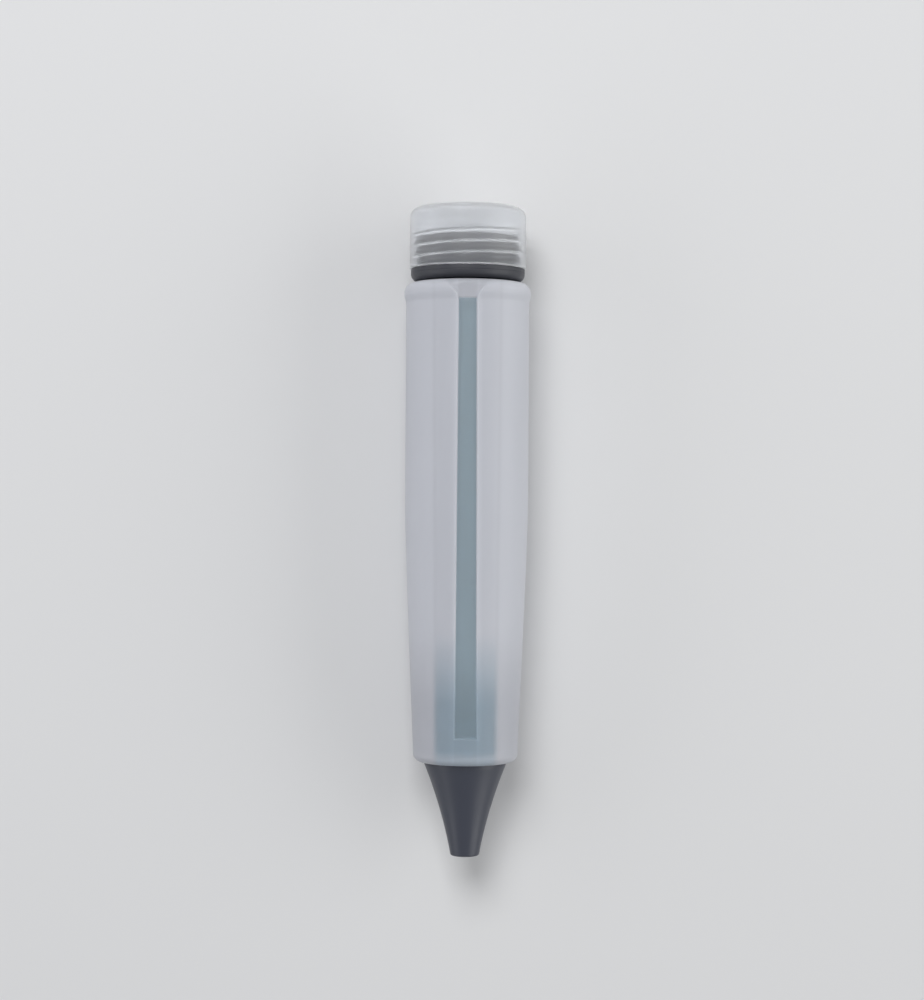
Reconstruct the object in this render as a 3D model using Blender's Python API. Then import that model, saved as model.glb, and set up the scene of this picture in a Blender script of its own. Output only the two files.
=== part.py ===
# A pen-shaped cake decorating syringe, lying on its side on the floor (z = 0).
# The pen's axis runs along Y: the nozzle's tip points to -Y and the screw cap to +Y.
# Its sight strip faces straight up.
#
# Every piece is modelled upright in its own coordinates, with Z as the pen's axis and
# the front of the pen towards -Y. It is then placed by its station, the distance from
# the tip of the fitted nozzle, under one empty that lays the whole pen down.

import math

import bmesh
import bpy

# Shared values, all lengths in metres
facets = 36                       # sides of a round piece, a multiple of four
clearance = 0.0003                # gap between pieces that touch on the real pen
cut_overrun = 0.001               # how far a cutter reaches past what it cuts
weld_distance = 0.000001
smooth_angle = math.radians(30)
fillet_limit_share = 0.95         # the most of a wall that a fillet may take

# Barrel
barrel_length = 0.1146
barrel_end_radius = 0.0125        # outside, where the taper meets the rounded end
barrel_end_round = 0.0022
grip_radius = 0.01475             # outside of the straight upper part
taper_length = 0.0600
taper_power = 1.15                # 1 would be a straight cone
taper_rings = 8
bore_radius = 0.0112
end_lip_thickness = 0.0026        # the inward lip that holds the nozzle
lip_radius = 0.01524              # bead round the open end
lip_height = 0.0038
lip_round = 0.0022
mouth_chamfer = 0.0006
fillet_rings = 4

# Sight strip, a shallow flat along the barrel's front
strip_width_low = 0.0054
strip_width_high = 0.0046
strip_depth = 0.00040
strip_end_margin = 0.0030         # plain barrel above the end lip
strip_top_margin = 0.0007         # plain barrel below the bead
flare_width = 0.0091              # the strip's flare across the bead, at the top
flare_depth = 0.00075

# Nozzles, a wide one fitted and a fine one in store
nozzle_reach = 0.02256            # how far the fitted nozzle stands out of the barrel
nozzle_neck_radius = 0.00996
neck_show = 0.0015                # neck that stands out before the cone starts
nozzle_wall = 0.0011
cone_sag = 0.00055                # how much the cone curves inward halfway
cone_rings = 7
flange_thickness = 0.0014
tip_round = 0.0003
wide_tip_radius = 0.0034
wide_outlet_radius = 0.0026
fine_tip_radius = 0.0018
fine_outlet_radius = 0.0010

# Piston and its two seal rings
piston_height = 0.0102
piston_slack = 0.0006             # radial gap from the piston's body to the bore
nose_length = 0.0100
nose_rings = 4
nose_round = 0.0012
seal_slack = 0.00015              # radial gap from a seal ring to the bore
seal_section_radius = 0.0007
seal_section_sides = 8
seal_inset = 0.0024               # from either end of the piston to a seal's middle
socket_depth = 0.0064
socket_lip = 0.0018               # the piston's lip that the rod's head snaps behind

# Plunger: a threaded store cup, a funnel and a ribbed rod in one moulding
rod_half_width = 0.00695          # across two ribs
rib_thickness = 0.0046
foot_thickness = 0.0016
stub_radius = 0.0032
stub_head_radius = 0.0042
stub_head_round = 0.0008
cup_radius = 0.01365
cup_corner_round = 0.0018
cup_shoulder_height = 0.00194     # from the cup's underside to the gasket's seat
cup_height = 0.01064
cup_root_radius = 0.0121          # outside of the threaded wall, between the ridges
ledge_depth = 0.0031              # from the cup's rim to the spare nozzle's ledge
funnel_slack = 0.0004             # gap round the spare nozzle's cone
funnel_wall = 0.0014
funnel_floor = 0.0015

# Screw cap, its thread and its gasket
cap_radius = 0.0140
cap_height = 0.0147
cap_wall = 0.0009
cap_roof = 0.0012
cap_edge_round = 0.0022
cap_rim_chamfer = 0.0004
gasket_thickness = 0.0006
gasket_slack = 0.0002
thread_pitch = 0.0026
ridge_height = 0.0007
ridge_root_width = 0.0013
ridge_crest_width = 0.0006
ridge_bite = 0.0002               # how deep a ridge is sunk into its wall
cup_thread_turns = 2.0
cap_thread_turns = 2.5
thread_start = 0.00285            # where both ridges start above the gasket's seat
fade_turns = 0.125                # a ridge dies away over this much of a turn
fade_share = 0.25                 # of the ridge's height, left at its very end

# Sizes that follow from the ones above
half_facet = math.pi / facets
barrel_base = nozzle_reach
seat_station = barrel_base + end_lip_thickness
flange_radius = bore_radius - clearance
nozzle_hole_radius = nozzle_neck_radius + clearance
nozzle_flange_height = seat_station + clearance
nozzle_length = nozzle_flange_height + flange_thickness
cone_height = nozzle_reach - neck_show
piston_station = nozzle_length + clearance
piston_radius = bore_radius - piston_slack
foot_station = piston_station + piston_height + clearance
cup_station = barrel_base + barrel_length + clearance
gasket_station = cup_station + cup_shoulder_height + gasket_slack
cap_station = gasket_station + gasket_thickness + clearance
pen_length = cap_station + cap_height
cap_bore_radius = cap_radius - cap_wall
cup_bore_radius = flange_radius + clearance
ledge_height = cup_height - ledge_depth
spare_tip_height = ledge_height + clearance - nozzle_flange_height
rod_disc_radius = math.hypot(rod_half_width, rib_thickness / 2) + clearance
axis_height = lip_radius * math.cos(half_facet)


def clear_scene():
    """Remove what an earlier run or the start-up file left behind."""
    for leftover in list(bpy.data.objects):
        bpy.data.objects.remove(leftover, do_unlink=True)


def make_material(name, colour, roughness, alpha=1.0):
    """One plain plastic or rubber surface."""
    material = bpy.data.materials.new(name)
    material.use_nodes = True
    surface = material.node_tree.nodes["Principled BSDF"]
    surface.inputs["Base Color"].default_value = (*colour, 1.0)
    surface.inputs["Roughness"].default_value = roughness
    surface.inputs["Metallic"].default_value = 0.0
    surface.inputs["Alpha"].default_value = alpha
    material.diffuse_color = (*colour, alpha)
    return material


def arc(centre_radius, centre_height, radius, start, end, steps):
    """Points of a fillet, from one angle to another in degrees."""
    points = []
    for step in range(steps + 1):
        angle = math.radians(start + (end - start) * step / steps)
        points.append((centre_radius + radius * math.cos(angle), centre_height + radius * math.sin(angle)))
    return points


def turned(outline):
    """A solid of revolution. The outline is (radius, height) points, open on the axis
    or closed round a bore, and one facet of the result faces straight down."""
    body = bmesh.new()
    cosine, sine = math.cos(half_facet), math.sin(half_facet)
    corners = [body.verts.new((radius * cosine, radius * sine, height)) for radius, height in outline]
    edges = [body.edges.new(pair) for pair in zip(corners, corners[1:])]
    if outline[0][0] > 0:
        edges.append(body.edges.new((corners[-1], corners[0])))
    bmesh.ops.spin(body, geom=corners + edges, cent=(0, 0, 0), axis=(0, 0, 1),
                   angle=2 * math.pi, steps=facets, use_merge=True)
    bmesh.ops.remove_doubles(body, verts=body.verts, dist=weld_distance)
    bmesh.ops.recalc_face_normals(body, faces=body.faces)
    return body


def lofted(sections):
    """A closed solid through a row of sections that all have as many corners."""
    body = bmesh.new()
    rings = [[body.verts.new(point) for point in section] for section in sections]
    for ring, following in zip(rings, rings[1:]):
        for index in range(len(ring)):
            after = (index + 1) % len(ring)
            body.faces.new((ring[index], ring[after], following[after], following[index]))
    body.faces.new(rings[0])
    body.faces.new(reversed(rings[-1]))
    bmesh.ops.recalc_face_normals(body, faces=body.faces)
    return body


def helical_ridge(wall_radius, rise, start_height, start_angle, turns):
    """A thread ridge on a wall. rise is how far it stands out of the wall, and is
    negative for a ridge that points inward."""
    steps = round(turns * facets)
    outward = math.copysign(1, rise)
    sections = []
    for step in range(steps + 1):
        turn = step / facets
        fade = min(1, fade_share + min(turn, turns - turn) / fade_turns)
        root = wall_radius - outward * ridge_bite
        crest = wall_radius + rise * fade
        angle = start_angle + 2 * math.pi * turn
        middle = start_height + thread_pitch * turn
        section = []
        for radius, width, side in ((root, ridge_root_width, -1), (crest, ridge_crest_width, -1),
                                    (crest, ridge_crest_width, 1), (root, ridge_root_width, 1)):
            height = middle + side * width / 2
            section.append((radius * math.cos(angle), radius * math.sin(angle), height))
        sections.append(section)
    return lofted(sections)


def add_piece(name, body, material, station, pen):
    """Turn a finished bmesh into a named, smooth-shaded object on the pen's axis."""
    mesh = bpy.data.meshes.new(name)
    body.to_mesh(mesh)
    body.free()
    mesh.shade_smooth()
    mesh.set_sharp_from_angle(angle=smooth_angle)
    mesh.materials.append(material)
    piece = bpy.data.objects.new(name, mesh)
    piece.location = (0, 0, station)
    piece.parent = pen
    bpy.context.scene.collection.objects.link(piece)
    return piece


def add_tool(name, body, piece, operation):
    """Join a helper shape to a piece, or cut it out, and keep the helper hidden."""
    mesh = bpy.data.meshes.new(name)
    body.to_mesh(mesh)
    body.free()
    tool = bpy.data.objects.new(name, mesh)
    tool.parent = piece
    tool.hide_render = True
    tool.display_type = "WIRE"
    bpy.context.scene.collection.objects.link(tool)
    change = piece.modifiers.new(name, "BOOLEAN")
    change.operation = operation
    change.solver = "EXACT"
    change.object = tool


def barrel_outside(height):
    """The barrel's outer radius below the bead, at a height above its end."""
    share = min(1, max(0, (height - barrel_end_round) / (taper_length - barrel_end_round)))
    return grip_radius - (grip_radius - barrel_end_radius) * (1 - share) ** taper_power


def cone_outside(height, tip_radius):
    """A nozzle's outer radius at a height above its tip, up to its neck."""
    share = min(1, height / cone_height)
    straight = tip_radius + (nozzle_neck_radius - tip_radius) * share
    return straight - cone_sag * 4 * share * (1 - share)


def cone_inside(height, tip_radius, outlet_radius):
    """A nozzle's bore at a height above its tip."""
    return max(outlet_radius, cone_outside(height, tip_radius) - nozzle_wall)


def make_barrel(pen, material):
    """The milky barrel: tapered outside, straight bore, a lip at both ends."""
    end_round = min(barrel_end_round, (barrel_end_radius - nozzle_hole_radius) * fillet_limit_share)
    outline = [(nozzle_hole_radius, 0)]
    outline += arc(barrel_end_radius - end_round, end_round, end_round, -90, 0, fillet_rings)
    for ring in range(1, taper_rings + 1):
        height = end_round + (taper_length - end_round) * ring / taper_rings
        outline.append((barrel_outside(height), height))
    bead_step = lip_radius - grip_radius
    outline += [(grip_radius, barrel_length - lip_height),
                (lip_radius, barrel_length - lip_height + bead_step)]
    outline += arc(lip_radius - lip_round, barrel_length - lip_round, lip_round, 0, 90, fillet_rings)
    outline += [(bore_radius + mouth_chamfer, barrel_length),
                (bore_radius, barrel_length - mouth_chamfer),
                (bore_radius, end_lip_thickness),
                (nozzle_hole_radius, end_lip_thickness)]
    barrel = add_piece("barrel", turned(outline), material, barrel_base, pen)
    add_tool("sight_strip_cutter", sight_strip(), barrel, "DIFFERENCE")
    add_tool("strip_flare_cutter", strip_flare(), barrel, "DIFFERENCE")


def front_section(half_width, floor_radius, back_radius, height):
    """A flat rectangle on the pen's front, as one section of a cutter."""
    return [(-half_width, -floor_radius, height), (half_width, -floor_radius, height),
            (half_width, -back_radius, height), (-half_width, -back_radius, height)]


def sight_strip():
    """The cutter for the strip, which follows the barrel's taper and narrows upward."""
    low = end_lip_thickness + strip_end_margin
    high = barrel_length - lip_height - strip_top_margin
    sections = []
    for ring in range(taper_rings + 1):
        height = low + (taper_length - low) * ring / taper_rings
        sections.append(strip_section(height, low, high))
    sections.append(strip_section(high, low, high))
    return lofted(sections)


def strip_section(height, low, high):
    """The strip's section at a height, between the strip's two ends."""
    width = strip_width_low + (strip_width_high - strip_width_low) * (height - low) / (high - low)
    outside = barrel_outside(height)
    return front_section(width / 2, outside - strip_depth, outside + cut_overrun, height)


def strip_flare():
    """The cutter for the flat that widens across the bead to the barrel's mouth."""
    low = barrel_length - lip_height
    high = barrel_length + cut_overrun
    spread = (flare_width - strip_width_high) * (high - low) / lip_height
    floor = lip_radius - flare_depth
    back = lip_radius + cut_overrun
    return lofted([front_section(strip_width_high / 2, floor, back, low),
                   front_section((strip_width_high + spread) / 2, floor, back, high)])


def make_nozzle(name, tip_radius, outlet_radius, station, pen, material):
    """A nozzle with a concave cone, a round neck and the flange that holds it."""
    heights = [cone_height * ring / cone_rings for ring in range(1, cone_rings + 1)]
    outline = [(outlet_radius, 0), (tip_radius - tip_round, 0), (tip_radius, tip_round)]
    outline += [(cone_outside(height, tip_radius), height) for height in heights]
    outline += [(nozzle_neck_radius, nozzle_flange_height), (flange_radius, nozzle_flange_height),
                (flange_radius, nozzle_length), (nozzle_neck_radius - nozzle_wall, nozzle_length)]
    outline += [(cone_inside(height, tip_radius, outlet_radius), height) for height in reversed(heights)]
    add_piece(name, turned(outline), material, station, pen)


def make_piston(pen, material):
    """The piston: a nose that empties the nozzle, two seal grooves and a snap socket."""
    outline = [(0, -nose_length)]
    for ring in range(nose_rings, -1, -1):
        depth = nose_length * ring / nose_rings
        bore = cone_inside(piston_station - depth, wide_tip_radius, wide_outlet_radius)
        radius = bore - clearance
        if ring == nose_rings:
            outline.append((radius - nose_round, -depth))
            outline.append((radius, nose_round - depth))
        else:
            outline.append((radius, -depth))
    outline.append((piston_radius, 0))
    half_groove = seal_section_radius + clearance
    for middle in (seal_inset, piston_height - seal_inset):
        floor = bore_radius - seal_slack - 2 * seal_section_radius - clearance
        outline += [(piston_radius, middle - half_groove), (floor, middle - half_groove),
                    (floor, middle + half_groove), (piston_radius, middle + half_groove)]
    outline += [(piston_radius, piston_height),
                (stub_radius + clearance, piston_height),
                (stub_radius + clearance, piston_height - socket_lip),
                (stub_head_radius + clearance, piston_height - socket_lip),
                (stub_head_radius + clearance, piston_height - socket_depth),
                (0, piston_height - socket_depth)]
    add_piece("piston", turned(outline), material, piston_station, pen)


def make_seal_ring(name, station, pen, material):
    """A round-section ring in one of the piston's grooves."""
    middle_radius = bore_radius - seal_slack - seal_section_radius
    outline = arc(middle_radius, 0, seal_section_radius, 0, 360, seal_section_sides)[:-1]
    add_piece(name, turned(outline), material, station, pen)


def make_plunger(pen, material):
    """The plunger: store cup on top, then a funnel, the ribbed rod and its snap head."""
    def hollow(height):
        return cone_outside(height - spare_tip_height, fine_tip_radius) + funnel_slack

    rings = [spare_tip_height * (1 - ring / cone_rings) for ring in range(cone_rings + 1)]
    cone_tops = [spare_tip_height + cone_height * ring / cone_rings for ring in range(cone_rings + 1)]
    hollow_floor = spare_tip_height - clearance
    head_bottom = hollow_floor - funnel_floor
    outline = [(0, head_bottom), (rod_disc_radius, head_bottom)]
    outline += [(max(rod_disc_radius, hollow(height) + funnel_wall), height) for height in rings]
    outline += arc(cup_radius - cup_corner_round, cup_corner_round, cup_corner_round, -90, 0, fillet_rings)
    outline += [(cup_radius, cup_shoulder_height), (cup_root_radius, cup_shoulder_height),
                (cup_root_radius, cup_height), (cup_bore_radius, cup_height),
                (cup_bore_radius, ledge_height), (nozzle_hole_radius, ledge_height),
                (nozzle_hole_radius + funnel_slack - clearance, cone_tops[-1])]
    outline += [(hollow(height), height) for height in reversed(cone_tops[:-1])]
    outline += [(hollow(spare_tip_height), hollow_floor), (0, hollow_floor)]
    plunger = add_piece("plunger", turned(outline), material, cup_station, pen)
    add_tool("cup_thread", helical_ridge(cup_root_radius, ridge_height, cup_shoulder_height + thread_start,
                                         0, cup_thread_turns), plunger, "UNION")
    foot_height = foot_station - cup_station
    add_tool("rod_ribs", ribbed_rod(foot_height, head_bottom + funnel_floor / 2), plunger, "UNION")
    add_tool("rod_foot", rod_foot(foot_height), plunger, "UNION")


def ribbed_rod(low, high):
    """A rod with a cross-shaped section."""
    half_rib = rib_thickness / 2
    low += foot_thickness / 2
    quarter = [(rod_half_width, half_rib), (half_rib, half_rib), (half_rib, rod_half_width)]
    sections = []
    for height in (low, high):
        section = []
        for turn in range(4):
            angle = turn * math.pi / 2
            cosine, sine = math.cos(angle), math.sin(angle)
            section += [(x * cosine - y * sine, x * sine + y * cosine, height) for x, y in quarter]
        sections.append(section)
    return lofted(sections)


def rod_foot(height):
    """The disc that pushes the piston, and the head that snaps into it."""
    head_length = socket_depth - socket_lip - 2 * clearance
    head_top = height - socket_lip - 2 * clearance
    head_bottom = head_top - head_length
    return turned([(0, head_bottom), (stub_head_radius - stub_head_round, head_bottom),
                   (stub_head_radius, head_bottom + stub_head_round), (stub_head_radius, head_top),
                   (stub_radius, head_top), (stub_radius, height), (rod_disc_radius, height),
                   (rod_disc_radius, height + foot_thickness), (0, height + foot_thickness)])


def make_gasket(pen, material):
    """The soft ring between the cup's shoulder and the cap's rim."""
    inner = cup_root_radius + clearance
    add_piece("cap_gasket", turned([(inner, 0), (cup_radius, 0), (cup_radius, gasket_thickness),
                                    (inner, gasket_thickness)]), material, gasket_station, pen)


def make_cap(pen, material):
    """The frosted screw cap over the store cup."""
    inner_round = min(cap_edge_round - cap_wall, cap_bore_radius * fillet_limit_share)
    outline = [(0, cap_height - cap_roof)]
    outline += arc(cap_bore_radius - inner_round, cap_height - cap_roof - inner_round, inner_round, 90, 0,
                   fillet_rings)
    outline += [(cap_bore_radius, 0), (cap_radius - cap_rim_chamfer, 0), (cap_radius, cap_rim_chamfer)]
    outline += arc(cap_radius - cap_edge_round, cap_height - cap_edge_round, cap_edge_round, 0, 90,
                   fillet_rings)
    outline.append((0, cap_height))
    cap = add_piece("storage_cap", turned(outline), material, cap_station, pen)
    start_height = cup_station + cup_shoulder_height + thread_start - cap_station
    add_tool("cap_thread", helical_ridge(cap_bore_radius, -ridge_height, start_height, math.pi,
                                         cap_thread_turns), cap, "UNION")


def build_pen():
    """Build every piece and lay the pen down."""
    clear_scene()
    pen = bpy.data.objects.new("pen_axis", None)
    pen.location = (0, -pen_length / 2, axis_height)
    pen.rotation_euler = (-math.pi / 2, 0, 0)
    bpy.context.scene.collection.objects.link(pen)

    milky = make_material("milky_plastic", (0.50, 0.55, 0.60), 0.42, 0.75)
    frosted = make_material("frosted_plastic", (0.55, 0.57, 0.60), 0.50, 0.45)
    slate = make_material("slate_plastic", (0.055, 0.060, 0.075), 0.30)
    spare_slate = make_material("spare_slate_plastic", (0.060, 0.065, 0.080), 0.30)
    rod_slate = make_material("rod_slate_plastic", (0.050, 0.055, 0.068), 0.35)
    piston_grey = make_material("piston_plastic", (0.060, 0.070, 0.080), 0.45)
    seal_black = make_material("seal_rubber", (0.030, 0.030, 0.034), 0.60)
    gasket_grey = make_material("gasket_rubber", (0.040, 0.042, 0.050), 0.60)

    make_barrel(pen, milky)
    make_nozzle("nozzle_wide", wide_tip_radius, wide_outlet_radius, 0, pen, slate)
    make_piston(pen, piston_grey)
    make_seal_ring("seal_ring_lower", piston_station + seal_inset, pen, seal_black)
    make_seal_ring("seal_ring_upper", piston_station + piston_height - seal_inset, pen, seal_black)
    make_plunger(pen, rod_slate)
    make_nozzle("nozzle_fine", fine_tip_radius, fine_outlet_radius, cup_station + spare_tip_height, pen,
                spare_slate)
    make_gasket(pen, gasket_grey)
    make_cap(pen, frosted)


build_pen()
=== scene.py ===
import math

import bmesh
import bpy
from mathutils import Matrix, Vector


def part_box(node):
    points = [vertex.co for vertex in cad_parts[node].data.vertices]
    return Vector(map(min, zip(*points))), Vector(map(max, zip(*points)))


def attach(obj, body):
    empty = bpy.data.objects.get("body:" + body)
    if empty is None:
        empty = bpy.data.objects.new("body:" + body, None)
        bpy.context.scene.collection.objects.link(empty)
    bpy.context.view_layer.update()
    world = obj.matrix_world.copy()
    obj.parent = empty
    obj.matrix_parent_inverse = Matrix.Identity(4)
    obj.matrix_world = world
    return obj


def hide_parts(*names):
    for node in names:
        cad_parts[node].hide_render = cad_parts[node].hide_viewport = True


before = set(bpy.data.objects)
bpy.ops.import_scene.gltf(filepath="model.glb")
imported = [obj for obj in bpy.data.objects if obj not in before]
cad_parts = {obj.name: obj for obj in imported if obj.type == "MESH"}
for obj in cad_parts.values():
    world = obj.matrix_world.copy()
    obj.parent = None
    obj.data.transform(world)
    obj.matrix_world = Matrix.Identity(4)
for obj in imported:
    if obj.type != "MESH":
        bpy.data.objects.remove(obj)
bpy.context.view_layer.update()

# The pen lies along Y. A station is the distance in mm from the fitted nozzle's tip.
mm = 0.001
fittedLow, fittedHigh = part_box("nozzle_wide")
tipY = fittedLow.y
axisZ = (fittedLow.z + fittedHigh.z) / 2
axisPoint = Vector((0, 0, axisZ))
penAxis = Vector((0, 1, 0))
roundSteps = 180  # sides of a round piece
filletSteps = 7
longestEdge, sameSpot = 1.5, 0.001  # mm, along a profile and between doubles
fineFillet, smallFillet, softFillet = 0.15, 0.20, 0.30  # mm
sharpDegrees = 38  # edges that are steeper than this stay sharp
cone = {"height": 22.30, "neck": 9.96, "sag": 0.62}  # both nozzles share it
thread = {"pitch": 2.6, "rise": 0.7, "start": 142.25, "margin": 0.8, "fade": 0.125, "ringGap": 0.09,
          "turned": -1.45, "onWall": 0.01}
print("pen axis at height", round(axisZ / mm, 3), "mm, tip at", round(tipY / mm, 2), "mm")


def clamped(share):
    return min(1, max(0, share))


def smooth(share):
    return share * share * (3 - 2 * share)


def rings(low, high, count):
    # evenly spaced stations, both ends included
    return [low + (high - low) * ring / count for ring in range(count + 1)]


def span(low, high, start=0):
    # two lengths in mm from start, as a pair in metres
    return start + low * mm, start + high * mm


def profileWire(corners):
    # corners are (radius, station, fillet) in mm, a profile that starts and ends on the axis stays open there
    bm = bmesh.new()
    spots = [bm.verts.new((radius * mm, tipY + station * mm, axisZ)) for radius, station, fillet in corners]
    for first, second in zip(spots, spots[1:]):
        bm.edges.new((first, second))
    if corners[0][0] > 0:
        bm.edges.new((spots[-1], spots[0]))
    for spot, (radius, station, fillet) in zip(spots, corners):
        if fillet:
            bmesh.ops.bevel(bm, geom=[spot], offset=fillet * mm, offset_type="OFFSET", segments=filletSteps,
                            profile=0.5, affect="VERTICES", material=-1)
    for edge in list(bm.edges):
        cuts = int(edge.calc_length() / (longestEdge * mm))
        if cuts:
            bmesh.ops.subdivide_edges(bm, edges=[edge], cuts=cuts)
    return bm


def spinRound(bm, steps=roundSteps):
    bmesh.ops.spin(bm, geom=bm.verts[:] + bm.edges[:], cent=axisPoint, axis=penAxis,
                   angle=2 * math.pi, steps=steps, use_merge=True)
    bmesh.ops.remove_doubles(bm, verts=bm.verts, dist=sameSpot * mm)
    bmesh.ops.recalc_face_normals(bm, faces=bm.faces)
    return bm


def threadStations(turns):
    # close rings, so that the ridge is smooth
    low = thread["start"] - thread["margin"]
    high = thread["start"] + turns * thread["pitch"] + thread["margin"]
    return rings(low, high, round((high - low) / thread["ringGap"]))


def raiseThread(bm, shape, wall, rise, startAngle, low, high):
    # a rounded ridge that winds right-handed along +Y, rise is negative on an inner wall
    for spot in bm.verts:
        across, up = spot.co.x / mm, (spot.co.z - axisZ) / mm
        radius, station = math.hypot(across, up), (spot.co.y - tipY) / mm
        if abs(radius - wall) > thread["onWall"] or not low < station < high:
            continue
        part = ((math.atan2(-up, across) - startAngle) / (2 * math.pi)) % 1
        along = station - thread["start"]
        turn = part + round(along / thread["pitch"] - part)
        off = abs(along - turn * thread["pitch"])
        flank = clamped((shape["root"] - 2 * off) / (shape["root"] - shape["crest"]))
        fade = clamped(min(turn, shape["turns"] - turn) / thread["fade"])
        wanted = wall + rise * fade * smooth(flank)
        spot.co.x, spot.co.z = across * wanted / radius * mm, axisZ + up * wanted / radius * mm


def looseObject(name, bm):
    mesh = bpy.data.meshes.new(name)
    bm.to_mesh(mesh)
    bm.free()
    made = bpy.data.objects.new(name, mesh)
    bpy.context.scene.collection.objects.link(made)
    return made


def joined(base, *additions):
    # real unions, so that no faces are left inside, made at 1 unit per mm
    for part in (base, *additions):
        part.data.transform(Matrix.Scale(1 / mm, 4))
    for addition in additions:
        change = base.modifiers.new("join", "BOOLEAN")
        change.operation = "UNION"
        change.solver = "EXACT"
        change.object = addition
    bpy.context.view_layer.update()
    solid = bpy.data.meshes.new_from_object(base.evaluated_get(bpy.context.evaluated_depsgraph_get()))
    base.modifiers.clear()
    base.data = solid
    solid.transform(Matrix.Scale(mm, 4))
    for addition in additions:
        bpy.data.objects.remove(addition)
    return base


def placePiece(piece, body, slot, node, *materials, sharp=sharpDegrees):
    piece.data.shade_smooth()
    piece.data.set_sharp_from_angle(angle=math.radians(sharp))
    for material in materials:
        piece.data.materials.append(material)
    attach(piece, body)
    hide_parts(node)
    print(piece.name, "rides on", body, "with", len(piece.data.polygons), "faces")
    return piece


def coneOutside(height, tip):
    share = min(1, height / cone["height"])
    return tip + (cone["neck"] - tip) * share - 4 * cone["sag"] * share * (1 - share)


def feed(tree, socket, value):
    # value is another node's output or a plain value
    if isinstance(value, bpy.types.NodeSocket):
        tree.links.new(value, socket)
    else:
        socket.default_value = value


def maths(tree, operation, first, second=0):
    step = tree.nodes.new("ShaderNodeMath")
    step.operation = operation
    feed(tree, step.inputs[0], first)
    feed(tree, step.inputs[1], second)
    return step.outputs["Value"]


def product(tree, first, *others):
    for other in others:
        first = maths(tree, "MULTIPLY", first, other)
    return first


def blend(tree, share, low, high):
    # low where share is 0, high where it is 1
    return maths(tree, "ADD", low, product(tree, share, maths(tree, "SUBTRACT", high, low)))


def ramp(tree, source, spread, values):
    # from the first value to the second while source crosses the spread
    step = tree.nodes.new("ShaderNodeMapRange")
    step.inputs["From Min"].default_value, step.inputs["From Max"].default_value = spread
    step.inputs["To Min"].default_value, step.inputs["To Max"].default_value = values
    tree.links.new(source, step.inputs["Value"])
    return step.outputs["Result"]


def noise(tree, place, scale, stretch, detail):
    # a stretch below 1 draws the pattern out along the pen
    mapping = tree.nodes.new("ShaderNodeMapping")
    mapping.inputs["Scale"].default_value = (1, stretch, 1)
    tree.links.new(place, mapping.inputs["Vector"])
    texture = tree.nodes.new("ShaderNodeTexNoise")
    texture.inputs["Scale"].default_value = scale
    texture.inputs["Detail"].default_value = detail
    tree.links.new(mapping.outputs["Vector"], texture.inputs["Vector"])
    return texture.outputs["Fac"]


def mixedColour(tree, factor, first, second, kind="MIX"):
    step = tree.nodes.new("ShaderNodeMix")
    step.data_type = "RGBA"
    step.blend_type = kind
    tree.links.new(factor, step.inputs["Factor"])
    feed(tree, step.inputs["A"], first)
    feed(tree, step.inputs["B"], second)
    return step.outputs["Result"]


def bump(tree, height, strength, depth):
    step = tree.nodes.new("ShaderNodeBump")
    step.inputs["Strength"].default_value = strength
    step.inputs["Distance"].default_value = depth
    tree.links.new(height, step.inputs["Height"])
    return step


def capShares(tree, axes, cap):
    # the shares of milky edge and of matt outside
    up = maths(tree, "SUBTRACT", axes["Z"], axisZ)
    squares = maths(tree, "ADD", product(tree, axes["X"], axes["X"]), product(tree, up, up))
    radius = maths(tree, "SQRT", squares)
    crest = product(tree, ramp(tree, radius, cap["crestRadius"], (1, 0)),
                    ramp(tree, axes["Y"], cap["crestTop"], (1, 0)))
    rim = ramp(tree, axes["Y"], cap["rim"], (1, 0))
    outside = maths(tree, "MAXIMUM", rim, ramp(tree, axes["Y"], cap["top"], (0, 1)))
    outside = maths(tree, "MAXIMUM", outside, ramp(tree, radius, cap["wall"], (0, 1)))
    return maths(tree, "MAXIMUM", crest, rim), outside


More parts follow.
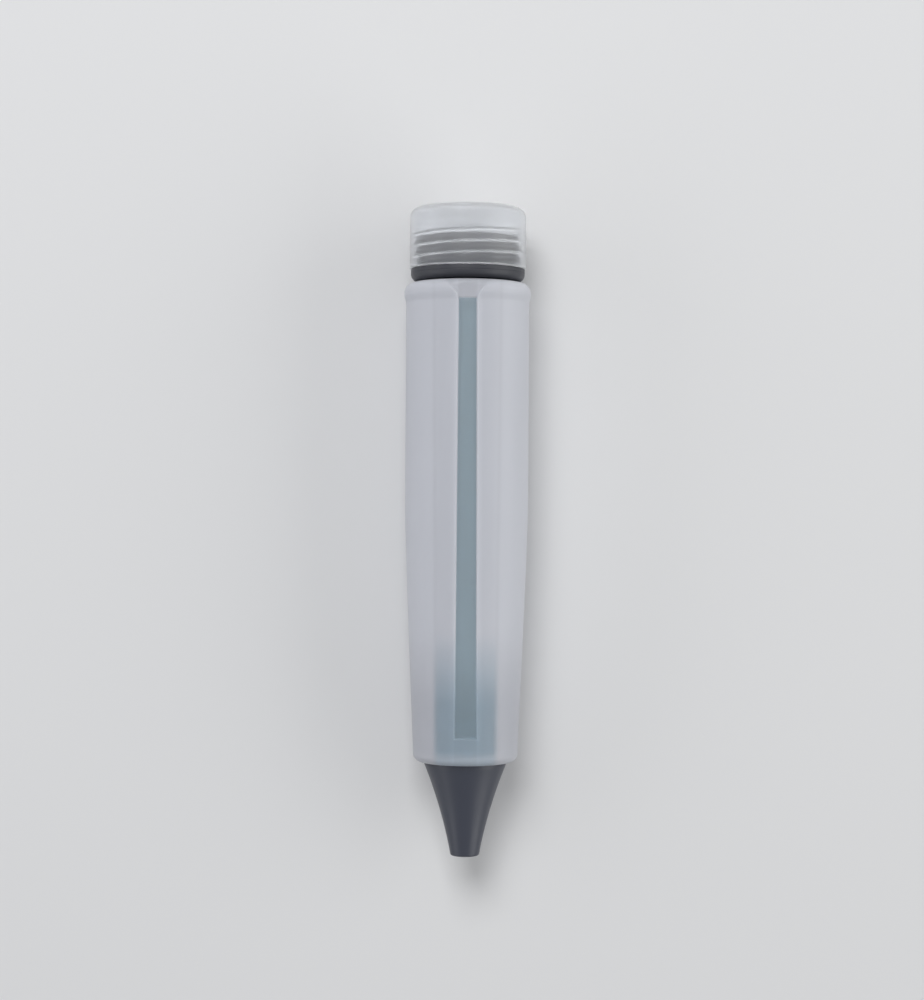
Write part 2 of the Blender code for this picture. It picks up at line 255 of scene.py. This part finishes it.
def panelShares(tree, axes, panel):
    # what is seen through the barrel, the share of tint, and the painted shade and painted highlights that scale
    # its colour
    along, across = axes["Y"], maths(tree, "ABSOLUTE", axes["X"])
    front = ramp(tree, axes["Z"], panel["front"], (0, 1))
    beyond = maths(tree, "SUBTRACT", across, ramp(tree, along, panel["along"], panel["halfWidth"]))
    clear = product(tree, ramp(tree, beyond, panel["edge"], (1, 0)), front)
    sideShare = ramp(tree, along, panel["thinning"], panel["sideSeeThrough"])
    frontShare = ramp(tree, along, panel["thinning"], panel["frontSeeThrough"])
    lip = ramp(tree, along, panel["lip"], (panel["lipShare"], 1))

    flareShare = maths(tree, "POWER", ramp(tree, along, panel["flare"], (0, 1)), panel["flarePower"])
    flareHalf = maths(tree, "ADD", product(tree, flareShare, panel["flareGain"]), panel["stripHalf"][1])
    flare = product(tree, ramp(tree, maths(tree, "SUBTRACT", across, flareHalf), panel["flareEdge"], (1, 0)), front)
    flareSeen = product(tree, flare, ramp(tree, along, panel["flareStart"], (0, panel["flareMore"])))
    seen = maths(tree, "ADD", product(tree, blend(tree, clear, sideShare, frontShare), lip), flareSeen)

    tinted = product(tree, clear, lip, ramp(tree, along, panel["thinning"], (1, 0)))
    # painted shade: darker lines along the window's edges, on the front only
    paintedShadeLine = product(tree, ramp(tree, maths(tree, "ABSOLUTE", beyond), panel["paintedShadeSpan"], (panel["paintedShadeLine"], 0)), front)
    margin = maths(tree, "SUBTRACT", across, ramp(tree, along, panel["along"], panel["stripHalf"]))
    beside = product(tree, ramp(tree, margin, panel["beside"], (0, 1)), front)
    # painted highlight: paler margins just outside the strip's edges, on the front only
    paintedHighlight = product(tree, ramp(tree, margin, panel["paintedHighlightSpan"], (panel["paintedHighlight"], 0)), beside)
    # painted shade: the end lip's colour is darker, standing in for the dark nozzle neck behind it
    paintedShadeAndHighlight = maths(tree, "SUBTRACT", ramp(tree, along, panel["lip"], (panel["lipPaintedShade"], 1)), paintedShadeLine)
    return seen, tinted, maths(tree, "ADD", paintedShadeAndHighlight, paintedHighlight)


patterns = {"cloudDetail": 3, "streakStretch": 0.02, "streakDetail": 2, "streakSpread": (0.3, 0.7),
            "grainDetail": 2, "flowStretch": 0.03, "flowDetail": 1}  # the same in every plastic


def plastic(name, look):
    # moulded plastic: cloudy colour, fine grain, and long flow lines that show in the gloss too
    material = bpy.data.materials.new(name)
    material.use_nodes = True
    tree = material.node_tree
    shader = tree.nodes["Principled BSDF"]
    for socket in ("IOR", "Subsurface Weight", "Subsurface Scale", "Subsurface Radius", "Specular IOR Level",
                   "Coat Weight", "Coat Roughness", "Sheen Weight", "Sheen Roughness"):
        if socket in look:
            shader.inputs[socket].default_value = look[socket]
    place = tree.nodes.new("ShaderNodeTexCoord").outputs["Object"]
    split = tree.nodes.new("ShaderNodeSeparateXYZ")
    tree.links.new(place, split.inputs["Vector"])
    axes = split.outputs

    clouds = noise(tree, place, look["cloudScale"], look["cloudStretch"], patterns["cloudDetail"])
    tone = mixedColour(tree, clouds, (*look["dark"], 1), (*look["light"], 1))
    streaks = noise(tree, place, look["streakScale"], patterns["streakStretch"], patterns["streakDetail"])
    dull = ramp(tree, streaks, patterns["streakSpread"], look["roughness"])
    if "fade" in look:  # clearer at one end than at the other
        seen = ramp(tree, axes["Y"], look["fade"], look["seeThrough"])
        if "cap" in look:  # milkier at the roof, the thread's crest and the rim, and polished inside
            cap = look["cap"]
            milk, outside = capShares(tree, axes, cap)
            seen = maths(tree, "SUBTRACT", seen, ramp(tree, axes["Y"], cap["roof"], (0, cap["roofLoss"])))
            seen = blend(tree, milk, seen, ramp(tree, axes["Y"], cap["milkAlong"], cap["milkSeeThrough"]))
            dull = product(tree, dull, ramp(tree, outside, (0, 1), (cap["innerSatin"], 1)))
        tree.links.new(seen, shader.inputs["Transmission Weight"])
    if "panel" in look:
        seen, tinted, paintedShadeAndHighlight = panelShares(tree, axes, look["panel"])
        tree.links.new(seen, shader.inputs["Transmission Weight"])
        # the panel's colour is scaled by its painted shade and painted highlights
        shaded = tree.nodes.new("ShaderNodeVectorMath")
        shaded.operation = "SCALE"
        tone = mixedColour(tree, tinted, tone, (*look["panel"]["tint"], 1), "MULTIPLY")
        tree.links.new(tone, shaded.inputs["Vector"])
        tree.links.new(paintedShadeAndHighlight, shaded.inputs["Scale"])
        tone = shaded.outputs["Vector"]
    tree.links.new(tone, shader.inputs["Base Color"])
    tree.links.new(dull, shader.inputs["Roughness"])

    specks = noise(tree, place, look["grainScale"], 1, patterns["grainDetail"])
    lines = noise(tree, place, look["flowScale"], patterns["flowStretch"], patterns["flowDetail"])
    grain = bump(tree, specks, look["grainStrength"], look["grainDepth"])
    flow = bump(tree, lines, look["flowStrength"], look["flowDepth"])
    tree.links.new(grain.outputs["Normal"], flow.inputs["Normal"])
    tree.links.new(flow.outputs["Normal"], shader.inputs["Normal"])
    print("material", name, "made")
    return material


# barrel: taper, bead, end lip and the sight strip
barrelShape = {"end": 22.56, "seat": 25.16, "taperStart": 24.56, "taperEnd": 82.56,
               "beadLow": 132.1, "beadHigh": 134.3, "mouth": 137.16,
               "endRadius": 12.5, "gripRadius": 14.75, "beadRadius": axisZ / mm, "bore": 11.2, "hole": 10.26,
               "taperPower": 1.15, "taperRings": 26, "beadRings": 11, "steps": 216,
               "holeRound": 0.25, "endRound": 1.95, "mouthRound": 2.4, "chamfer": 0.6}
stripShape = {"low": 29.1, "high": 132.70, "halfLow": 2.7, "halfHigh": 2.3, "halfMouth": 6.0,
              "depth": 0.40, "rim": 0.07, "flareDepth": 0.65, "flarePower": 1.46,
              "lowRoom": 1.0,  # no ring of the taper is nearer to its low end
              "highSteps": (-0.5, -0.22, -0.02, 0.02),  # rings at its high end
              "columns": 18,  # gathered to its edges, on each side of its middle
              "insideShares": (0, 0.3, 0.6, 0.85),  # where the inner columns stand in its half width
              "edges": (-0.70, -0.40, -0.16, -0.03, 0.05, 0.13, 0.24),  # distances inside its outline
              "skin": 0.62, "skinBlend": 0.5,  # from the bore outwards, so that only the outside moves
              "rimRise": ((-0.70, 0), (-0.40, 0.8), (-0.16, 1.0), (-0.03, 0.6)),  # by distance inside its outline
              "wallRise": ((-0.03, 1), (0.05, 0.55), (0.13, 0.1), (0.24, 0)),
              "flareFall": ((-0.1, 0), (0.1, 0.5), (0.45, 1)), "clearInside": 0.25}
frontPanel = {"front": span(0, 2, axisZ), "along": span(28, 133, tipY), "thinning": span(37, 54, tipY),
              "halfWidth": span(7.1, 7.9), "edge": span(-0.7, 0.7), "tint": (0.92, 1.07, 1.12),
              "frontSeeThrough": (0.60, 0.13), "sideSeeThrough": (0.31, 0.10),
              "lip": span(24.4, 26.0, tipY), "lipShare": 0.6, "lipPaintedShade": 0.93,  # the solid end lip hides more, and its colour carries painted shade
              "stripHalf": span(stripShape["halfLow"], stripShape["halfHigh"]),
              "flare": span(stripShape["high"], barrelShape["mouth"], tipY), "flareMore": 0.16,
              "flareGain": (stripShape["halfMouth"] - stripShape["halfHigh"]) * mm,
              "flarePower": stripShape["flarePower"], "flareEdge": span(-0.2, 0.2),
              "flareStart": span(stripShape["high"] - 0.1, stripShape["high"] + 0.2, tipY),
              # painted shade lines along the window's edges
              "paintedShadeLine": 0.04, "paintedShadeSpan": span(0, 0.7), "beside": span(-0.2, 0.1),
              # painted highlights beside the strip
              "paintedHighlight": 0.07, "paintedHighlightSpan": span(0.2, 1.3)}
barrelLook = {"dark": (0.535, 0.55, 0.60), "light": (0.60, 0.615, 0.665), "roughness": (0.36, 0.44),
              "cloudScale": 60, "cloudStretch": 0.3, "streakScale": 700,
              "grainStrength": 0.35, "grainDepth": 0.00002, "grainScale": 6000,
              "flowStrength": 0.3, "flowDepth": 0.00006, "flowScale": 260,
              "IOR": 1.35, "Subsurface Weight": 0.4, "Subsurface Scale": 0.002,
              "Subsurface Radius": (1.0, 1.0, 1.0), "Specular IOR Level": 0.4}
stripLook = {**barrelLook, "dark": (0.55, 0.68, 0.76), "light": (0.61, 0.73, 0.81), "roughness": (0.30, 0.36),
             "grainStrength": 0.1, "Subsurface Weight": 0.1, "fade": span(35, 50, tipY), "seeThrough": (0.77, 0.65)}
milky = plastic("milkyPlastic", {**barrelLook, "panel": frontPanel})
clearStrip = plastic("clearStripPlastic", stripLook)


def barrelRadius(station):
    shape = barrelShape
    if station > shape["beadLow"]:
        share = clamped((station - shape["beadLow"]) / (shape["beadHigh"] - shape["beadLow"]))
        return shape["gripRadius"] + (shape["beadRadius"] - shape["gripRadius"]) * smooth(share)
    share = clamped((station - shape["taperStart"]) / (shape["taperEnd"] - shape["taperStart"]))
    return shape["gripRadius"] - (shape["gripRadius"] - shape["endRadius"]) * (1 - share) ** shape["taperPower"]


def stripHalfWidth(station):
    low, high = stripShape["low"], stripShape["high"]
    if station > high:
        share = min(1, (station - high) / (barrelShape["mouth"] - high)) ** stripShape["flarePower"]
        return stripShape["halfHigh"] + (stripShape["halfMouth"] - stripShape["halfHigh"]) * share
    share = clamped((station - low) / (high - low))
    return stripShape["halfLow"] + (stripShape["halfHigh"] - stripShape["halfLow"]) * share


def blendTo(points, value):
    # straight steps between (value, height) points
    if value <= points[0][0]:
        return points[0][1]
    for (x0, y0), (x1, y1) in zip(points, points[1:]):
        if value <= x1:
            return y0 + (y1 - y0) * (value - x0) / (x1 - x0)
    return points[-1][1]


def columnAcross(column, radius, half):
    # how far a column of the strip's zone stands from its middle
    strip, stepAngle = stripShape, 2 * math.pi / barrelShape["steps"]
    place, inner = abs(column), len(strip["insideShares"])
    last = inner + len(strip["edges"]) - 1
    if place < inner:
        wanted = half * strip["insideShares"][place]
    elif place <= last:
        wanted = half - strip["edges"][last - place]
    else:
        outline = half - strip["edges"][0]
        room = radius * math.sin(strip["columns"] * stepAngle) - outline
        wanted = outline + room * (place - last) / (strip["columns"] - last)
    plain = radius * math.sin(place * stepAngle)
    moved = clamped((radius - barrelShape["bore"] - strip["skin"]) / strip["skinBlend"])
    return math.copysign(plain + (wanted - plain) * moved, column) if column else 0


def sinkStrip(bm):
    shape, strip = barrelShape, stripShape
    for spot in bm.verts:
        across, up = spot.co.x / mm, (spot.co.z - axisZ) / mm
        radius, station = math.hypot(across, up), (spot.co.y - tipY) / mm
        column = round(math.atan2(across, up) / (2 * math.pi / shape["steps"]))
        if abs(column) > strip["columns"] or radius < shape["bore"] + strip["skin"]:
            continue
        half = stripHalfWidth(station)
        x = columnAcross(column, radius, half)
        z = surface = math.sqrt(radius ** 2 - x ** 2)
        inside = min(half - abs(x), station - strip["low"])
        wallStart, rimEnd = strip["rimRise"][-1]
        if station > strip["high"]:
            flat = min(surface, shape["beadRadius"] - strip["flareDepth"])
            z = surface + (flat - surface) * blendTo(strip["flareFall"], half - abs(x))
        elif inside >= wallStart:
            floor = radius - strip["depth"]
            z = floor + (surface + strip["rim"] * rimEnd - floor) * blendTo(strip["wallRise"], inside)
        elif inside > strip["edges"][0]:
            z = surface + strip["rim"] * blendTo(strip["rimRise"], inside)
        spot.co.x, spot.co.z = x * mm, axisZ + z * mm
    for face in bm.faces:
        middle = face.calc_center_median()
        station = (middle.y - tipY) / mm
        inside = min(stripHalfWidth(station) - abs(middle.x) / mm, station - strip["low"], strip["high"] - station)
        if middle.z > axisZ and inside > strip["clearInside"]:
            face.material_index = 1


def makeBarrel():
    shape, strip = barrelShape, stripShape
    stations = [station for station in rings(shape["taperStart"], shape["taperEnd"], shape["taperRings"])[1:]
                if abs(station - strip["low"]) > strip["lowRoom"]]
    stations += [strip["low"] + step for step in strip["edges"]]
    stations += [strip["high"] + step for step in strip["highSteps"]]
    stations += rings(shape["beadLow"], shape["beadHigh"], shape["beadRings"])
    corners = [(shape["hole"], shape["end"], shape["holeRound"]),
               (shape["endRadius"], shape["end"], shape["endRound"])]
    corners += [(barrelRadius(station), station, 0) for station in sorted(stations)]
    corners += [(shape["beadRadius"], shape["mouth"], shape["mouthRound"]),
                (shape["bore"] + shape["chamfer"], shape["mouth"], smallFillet),
                (shape["bore"], shape["mouth"] - shape["chamfer"], smallFillet),
                (shape["bore"], shape["seat"], smallFillet), (shape["hole"], shape["seat"], fineFillet)]
    bm = spinRound(profileWire(corners), shape["steps"])
    sinkStrip(bm)
    return bm


placePiece(looseObject("barrelShell", makeBarrel()), "barrel_body", "barrel_milky", "barrel", milky, clearStrip)


# nozzles: concave cone, neck and flange
nozzleShape = {"rings": 22, "wall": 1.1, "neckEnd": 25.46, "length": 26.86, "flange": 10.9, "tipFillet": 0.4,
               "straight": 1.0, "throat": 1.0, "least": 0.02}  # the outlet's straight run and its widening
wideNozzle = {"tip": 3.4, "outlet": 2.6, "station": 0.0}
fineNozzle = {"tip": 1.8, "outlet": 1.0, "station": 119.84}
slateLook = {"dark": (0.025, 0.030, 0.046), "light": (0.031, 0.036, 0.054), "roughness": (0.37, 0.43),
             "cloudScale": 120, "cloudStretch": 0.4, "streakScale": 900,
             "grainStrength": 0.12, "grainDepth": 0.00002, "grainScale": 4000,
             "flowStrength": 0.25, "flowDepth": 0.00005, "flowScale": 420,
             "IOR": 1.49, "Specular IOR Level": 0.5}
slate = plastic("nozzleSlate", slateLook)


def makeNozzle(which):
    shape, start, outlet = nozzleShape, which["station"], which["outlet"]
    heights = rings(0, cone["height"], shape["rings"])[1:]
    outside = [(coneOutside(height, which["tip"]), height) for height in heights]
    inside = [(radius - shape["wall"], height) for radius, height in outside
              if radius - shape["wall"] > outlet + shape["least"]]
    throat = max(shape["straight"], inside[0][1] - shape["throat"])
    corners = [(outlet, start, fineFillet), (which["tip"], start, shape["tipFillet"])]
    corners += [(radius, start + height, 0) for radius, height in outside]
    corners += [(cone["neck"], start + shape["neckEnd"], smallFillet),
                (shape["flange"], start + shape["neckEnd"], fineFillet),
                (shape["flange"], start + shape["length"], smallFillet),
                (cone["neck"] - shape["wall"], start + shape["length"], smallFillet)]
    corners += [(radius, start + height, 0) for radius, height in reversed(inside)]
    return spinRound(profileWire(corners + [(outlet, start + throat, 0)]))


placePiece(looseObject("nozzleWideShell", makeNozzle(wideNozzle)), "fitted_nozzle", "nozzle_slate", "nozzle_wide",
           slate)
placePiece(looseObject("nozzleFineShell", makeNozzle(fineNozzle)), "spare_nozzle", "nozzle_slate", "nozzle_fine",
           slate)


# piston and its seals
pistonShape = {"low": 27.16, "high": 37.36, "radius": 10.6, "edgeRound": 0.35,
               "nose": 10.0, "noseRings": 8, "noseGap": 0.3, "noseRound": 1.0,
               "socket": 4.5, "socketLip": 1.8, "socketMouth": 3.5, "socketDepth": 6.4,
               "groove": 1.0, "grooveFloor": 9.35, "grooveRound": 0.12}
sealShape = {"section": 0.7, "radius": 10.35, "sides": 22, "low": 29.56, "high": 34.96}
pistonLook = {**slateLook, "dark": (0.055, 0.068, 0.078), "light": (0.070, 0.084, 0.095),
              "roughness": (0.42, 0.50), "grainStrength": 0.3}
sealLook = {**slateLook, "dark": (0.026, 0.026, 0.030), "light": (0.034, 0.034, 0.038),
            "roughness": (0.55, 0.65), "grainStrength": 0.4}
pistonPlastic = plastic("pistonPlastic", pistonLook)
sealRubber = plastic("sealRubber", sealLook)


def makePiston():
    shape = pistonShape
    tip, socketFloor = shape["low"] - shape["nose"], shape["high"] - shape["socketDepth"]
    lipLow = shape["high"] - shape["socketLip"]
    corners = [(0, tip, 0)]
    for station in rings(tip, shape["low"], shape["noseRings"]):
        radius = coneOutside(station, wideNozzle["tip"]) - nozzleShape["wall"] - shape["noseGap"]
        corners.append((radius, station, shape["noseRound"] if station == tip else 0))
    corners.append((shape["radius"], shape["low"], shape["edgeRound"]))
    for middle in (sealShape["low"], sealShape["high"]):
        low, high = middle - shape["groove"], middle + shape["groove"]
        groove = ((shape["radius"], low), (shape["grooveFloor"], low),
                  (shape["grooveFloor"], high), (shape["radius"], high))
        corners += [(radius, station, shape["grooveRound"]) for radius, station in groove]
    corners += [(shape["radius"], shape["high"], shape["edgeRound"]),
                (shape["socketMouth"], shape["high"], shape["edgeRound"]),
                (shape["socketMouth"], lipLow, fineFillet), (shape["socket"], lipLow, fineFillet),
                (shape["socket"], socketFloor, softFillet), (0, socketFloor, 0)]
    return spinRound(profileWire(corners))


def makeSeal(station):
    bm = bmesh.new()
    bmesh.ops.create_circle(bm, segments=sealShape["sides"], radius=sealShape["section"] * mm,
                            matrix=Matrix.Translation((sealShape["radius"] * mm, tipY + station * mm, axisZ)))
    return spinRound(bm)


placePiece(looseObject("pistonBody", makePiston()), "piston_body", "piston_grey", "piston", pistonPlastic)
for ringName, ringNode, ringStation in (("sealRingLow", "seal_ring_lower", sealShape["low"]),
                                        ("sealRingHigh", "seal_ring_upper", sealShape["high"])):
    placePiece(looseObject(ringName, makeSeal(ringStation)), "piston_body", "seal_black", ringNode, sealRubber)


# plunger: store cup with its thread, funnel, ribbed rod, foot and snap head
cupShape = {"under": 137.46, "shoulder": 139.40, "rim": 148.10, "ledge": 145.00, "radius": 13.65, "wall": 12.1,
            "bore": 11.2, "cornerRound": 1.8, "turns": 2.0, "root": 1.3, "crest": 0.3, "threadEnds": 0.3,
            "shoulderRound": 0.04, "rimRound": 0.25, "ledgeSlope": 0.1, "sharp": 62}
funnelShape = {"bottom": 118.04, "floor": 119.54, "gap": 0.4, "wall": 1.4, "rings": 14,
               "disc": 7.62, "discRound": 0.4}
rodShape = {"halfWidth": 6.95, "rib": 4.6, "tipRound": 0.7, "innerRound": 0.8, "roundSteps": 5, "intoFunnel": 0.5,
            "foot": 37.66, "footThick": 1.6, "stub": 3.2,
            "head": 4.2, "headLow": 31.26, "headHigh": 35.26, "headRound": 0.8}
rodLook = {**slateLook, "dark": (0.028, 0.030, 0.038), "light": (0.035, 0.037, 0.046), "roughness": (0.40, 0.48),
           "Specular IOR Level": 0.4}
rodSlate = plastic("plungerSlate", rodLook)


def makePlungerHead():
    cup, funnel, start = cupShape, funnelShape, fineNozzle["station"]

    def hollow(station):
        return coneOutside(station - start, fineNozzle["tip"]) + funnel["gap"]

    tops = rings(start, start + cone["height"], funnel["rings"])
    corners = [(0, funnel["bottom"], 0), (funnel["disc"], funnel["bottom"], funnel["discRound"])]
    corners += [(max(funnel["disc"], hollow(station) + funnel["wall"]), station, 0)
                for station in rings(start, cup["under"], funnel["rings"])]
    corners += [(cup["radius"], cup["under"], cup["cornerRound"]),
                (cup["radius"], cup["shoulder"], cup["shoulderRound"]), (cup["wall"], cup["shoulder"], fineFillet)]
    corners += [(cup["wall"], station, 0) for station in threadStations(cup["turns"])
                if station < cup["rim"] - cup["threadEnds"]]
    corners += [(cup["wall"], cup["rim"], cup["rimRound"]), (cup["bore"], cup["rim"], smallFillet),
                (cup["bore"], cup["ledge"], fineFillet), (barrelShape["hole"], cup["ledge"], fineFillet),
                (barrelShape["hole"] + cup["ledgeSlope"], tops[-1], 0)]
    corners += [(hollow(station), station, 0) for station in reversed(tops[:-1])]
    corners += [(hollow(start), funnel["floor"], 0), (0, funnel["floor"], 0)]
    bm = spinRound(profileWire(corners))
    raiseThread(bm, cup, cup["wall"], thread["rise"], thread["turned"],
                cup["shoulder"] + cup["threadEnds"], cup["rim"] - cup["threadEnds"])
    return bm


def makeRod():
    shape = rodShape
    bm = bmesh.new()
    low = shape["foot"] + shape["footThick"] / 2
    high = funnelShape["bottom"] + shape["intoFunnel"]
    half = shape["rib"] / 2
    spots = []
    for quarter in range(4):
        turn = Matrix.Rotation(quarter * math.pi / 2, 3, "Y")
        for across, up in ((shape["halfWidth"], half), (half, half), (half, shape["halfWidth"])):
            corner = turn @ (Vector((across, 0, -up)) * mm)
            spots.append(bm.verts.new(corner + axisPoint + penAxis * (tipY + low * mm)))
    for first, second in zip(spots, spots[1:] + spots[:1]):
        bm.edges.new((first, second))
    inner = spots[1::3]
    outer = [spot for spot in spots if spot not in inner]
    for corners, offset in ((outer, shape["tipRound"]), (inner, shape["innerRound"])):
        bmesh.ops.bevel(bm, geom=corners, offset=offset * mm, offset_type="OFFSET", segments=shape["roundSteps"],
                        profile=0.5, affect="VERTICES", material=-1)
    bmesh.ops.edgeloop_fill(bm, edges=bm.edges[:])
    grown = bmesh.ops.extrude_face_region(bm, geom=bm.faces[:])["geom"]
    bmesh.ops.translate(bm, verts=[part for part in grown if isinstance(part, bmesh.types.BMVert)],
                        vec=penAxis * (high - low) * mm)
    bmesh.ops.recalc_face_normals(bm, faces=bm.faces)
    return bm


def makeFoot():
    shape, disc = rodShape, funnelShape["disc"]
    top = shape["foot"] + shape["footThick"]
    corners = [(0, shape["headLow"], 0), (shape["head"], shape["headLow"], shape["headRound"]),
               (shape["head"], shape["headHigh"], softFillet), (shape["stub"], shape["headHigh"], smallFillet),
               (shape["stub"], shape["foot"], softFillet), (disc, shape["foot"], softFillet),
               (disc, top, funnelShape["discRound"]), (0, top, 0)]
    return spinRound(profileWire(corners))


plunger = joined(looseObject("plungerMoulding", makePlungerHead()),
                 looseObject("rodRibs", makeRod()), looseObject("rodFoot", makeFoot()))
placePiece(plunger, "plunger_body", "plunger_slate", "plunger", rodSlate, sharp=cupShape["sharp"])


# gasket and screw cap
gasketShape = {"inner": 12.4, "outer": 13.65, "low": 139.42, "high": 140.47,
               "innerRound": 0.12, "lowRound": 0.04, "highRound": 0.06}
capShape = {"rim": 140.50, "top": 155.20, "roof": 154.00, "radius": 14.0, "bore": 13.1, "draft": 0.12,
            "edgeRound": 2.3, "innerRound": 0.6, "rimRound": 0.35,
            "turns": 3.0, "root": 0.92, "crest": 0.14, "threadLow": 0.3, "threadHigh": 2.0,
            "gateRadius": 1.1, "gateSlope": 0.15, "gateDepth": 0.12, "gateRound": 0.08, "sharp": 80}
capZones = {"roof": span(151.5, 154.5, tipY), "roofLoss": 0.1, "crestRadius": span(12.45, 12.57),
            "crestTop": span(151.0, 151.5, tipY), "rim": span(140.75, 140.95, tipY),
            "milkAlong": span(142, 149.5, tipY), "milkSeeThrough": (0.68, 0.50),
            "top": span(154.02, 154.1, tipY), "wall": span(13.12, 13.2), "innerSatin": 0.35}
capLook = {"dark": (0.915, 0.93, 0.955), "light": (0.955, 0.97, 0.99), "roughness": (0.28, 0.31),
           "cloudScale": 90, "cloudStretch": 1, "streakScale": 500,
           "grainStrength": 0.1, "grainDepth": 0.00002, "grainScale": 5000,
           "flowStrength": 0.08, "flowDepth": 0.00004, "flowScale": 300,
           "fade": span(140.5, 149.5, tipY), "seeThrough": (0.96, 0.86), "cap": capZones,
           "IOR": 1.22, "Specular IOR Level": 0.4, "Coat Weight": 0.12, "Coat Roughness": 0.22,
           "Sheen Weight": 0.3, "Sheen Roughness": 0.4}
gasketRubber = plastic("gasketRubber", {**rodLook, "roughness": (0.42, 0.50)})
frosted = plastic("frostedPlastic", capLook)


def makeGasket():
    shape = gasketShape
    return spinRound(profileWire([
        (shape["inner"], shape["low"], shape["innerRound"]), (shape["outer"], shape["low"], shape["lowRound"]),
        (shape["outer"], shape["high"], shape["highRound"]), (shape["inner"], shape["high"], shape["innerRound"])]))


def makeCap():
    shape = capShape
    gateFloor = shape["top"] - shape["gateDepth"]
    corners = [(0, shape["roof"], 0), (shape["bore"], shape["roof"], shape["innerRound"])]
    corners += [(shape["bore"], station, 0) for station in reversed(threadStations(shape["turns"]))]
    corners += [(shape["bore"], shape["rim"], fineFillet), (shape["radius"], shape["rim"], shape["rimRound"]),
                (shape["radius"] - shape["draft"], shape["top"], shape["edgeRound"]),
                (shape["gateRadius"], shape["top"], shape["gateRound"]),
                (shape["gateRadius"] - shape["gateSlope"], gateFloor, shape["gateRound"]), (0, gateFloor, 0)]
    bm = spinRound(profileWire(corners))
    raiseThread(bm, shape, shape["bore"], -thread["rise"], math.pi + thread["turned"],
                shape["rim"] + shape["threadLow"], shape["roof"] - shape["threadHigh"])
    return bm


placePiece(looseObject("gasketRing", makeGasket()), "gasket_body", "gasket_grey", "cap_gasket", gasketRubber)
placePiece(looseObject("screwCapShell", makeCap()), "cap_body", "cap_frosted", "storage_cap", frosted,
           sharp=capShape["sharp"])


# floor, light and camera
studio = {"halfSize": 1.5, "floor": (0.73, 0.735, 0.745), "floorRoughness": 0.85, "floorSpecular": 0.2,
          "world": (0.97, 0.98, 1.0), "worldStrength": 0.30, "shownBackground": (0.80, 0.80, 0.81)}
lamps = {  # place, size across and up in metres, power in watts, colour, all aimed at the pen
    "keyTop": ((-0.16, 0.54, 0.88), (0.50, 0.50), 6.0, (1.0, 1.0, 1.0)),
    "cardLeft": ((-0.85, -0.10, 0.30), (1.30, 0.50), 2.1, (0.98, 0.98, 1.0)),
    "cardRight": ((0.85, -0.10, 0.32), (1.40, 0.80), 5.5, (1.0, 0.995, 0.97)),
}
view = {"sensor": 36, "lens": 79.2, "across": -0.0011, "along": 0.0076, "above": 0.528, "turn": 0.0055}


def makeFloor():
    bm = bmesh.new()
    bmesh.ops.create_grid(bm, x_segments=2, y_segments=2, size=studio["halfSize"])
    floor = looseObject("paleFloor", bm)
    paint = bpy.data.materials.new("palePaper")
    paint.use_nodes = True
    shader = paint.node_tree.nodes["Principled BSDF"]
    shader.inputs["Base Color"].default_value = (*studio["floor"], 1)
    shader.inputs["Roughness"].default_value = studio["floorRoughness"]
    shader.inputs["Specular IOR Level"].default_value = studio["floorSpecular"]
    floor.data.materials.append(paint)


def makeWorld():
    # the world that is seen, mirrored or looked at through plastic is paler than its light
    world = bpy.data.worlds.new("studioWorld")
    world.use_nodes = True
    tree = world.node_tree
    tree.nodes.clear()
    output = tree.nodes.new("ShaderNodeOutputWorld")
    lit, shown = tree.nodes.new("ShaderNodeBackground"), tree.nodes.new("ShaderNodeBackground")
    lit.inputs["Color"].default_value = (*studio["world"], 1)
    lit.inputs["Strength"].default_value = studio["worldStrength"]
    shown.inputs["Color"].default_value = (*studio["shownBackground"], 1)
    rays = tree.nodes.new("ShaderNodeLightPath").outputs
    direct = rays["Is Camera Ray"]
    for ray in ("Is Glossy Ray", "Is Transmission Ray"):
        direct = maths(tree, "ADD", direct, rays[ray])
        direct.node.use_clamp = True
    mix = tree.nodes.new("ShaderNodeMixShader")
    tree.links.new(direct, mix.inputs["Fac"])
    tree.links.new(lit.outputs["Background"], mix.inputs[1])
    tree.links.new(shown.outputs["Background"], mix.inputs[2])
    tree.links.new(mix.outputs["Shader"], output.inputs["Surface"])
    bpy.context.scene.world = world


def makeLamps():
    for name, (place, size, power, colour) in lamps.items():
        light = bpy.data.lights.new(name, "AREA")
        light.shape = "RECTANGLE"
        light.size, light.size_y = size
        light.energy = power
        light.color = colour
        lamp = bpy.data.objects.new(name, light)
        lamp.location = place
        lamp.rotation_euler = (axisPoint - Vector(place)).to_track_quat("-Z", "Y").to_euler()
        bpy.context.scene.collection.objects.link(lamp)


def makeCamera():
    lens = bpy.data.cameras.new("photoLens")
    lens.sensor_width = view["sensor"]
    lens.sensor_fit = "AUTO"
    lens.lens = view["lens"]
    camera = bpy.data.objects.new("photoCamera", lens)
    camera.location = (view["across"], view["along"], axisZ + view["above"])
    camera.rotation_euler = (0, 0, view["turn"])
    bpy.context.scene.collection.objects.link(camera)
    bpy.context.scene.camera = camera


makeFloor()
makeWorld()
makeLamps()
makeCamera()
bpy.context.scene.view_settings.view_transform = "Standard"
print("floor, world, lamps and camera made")
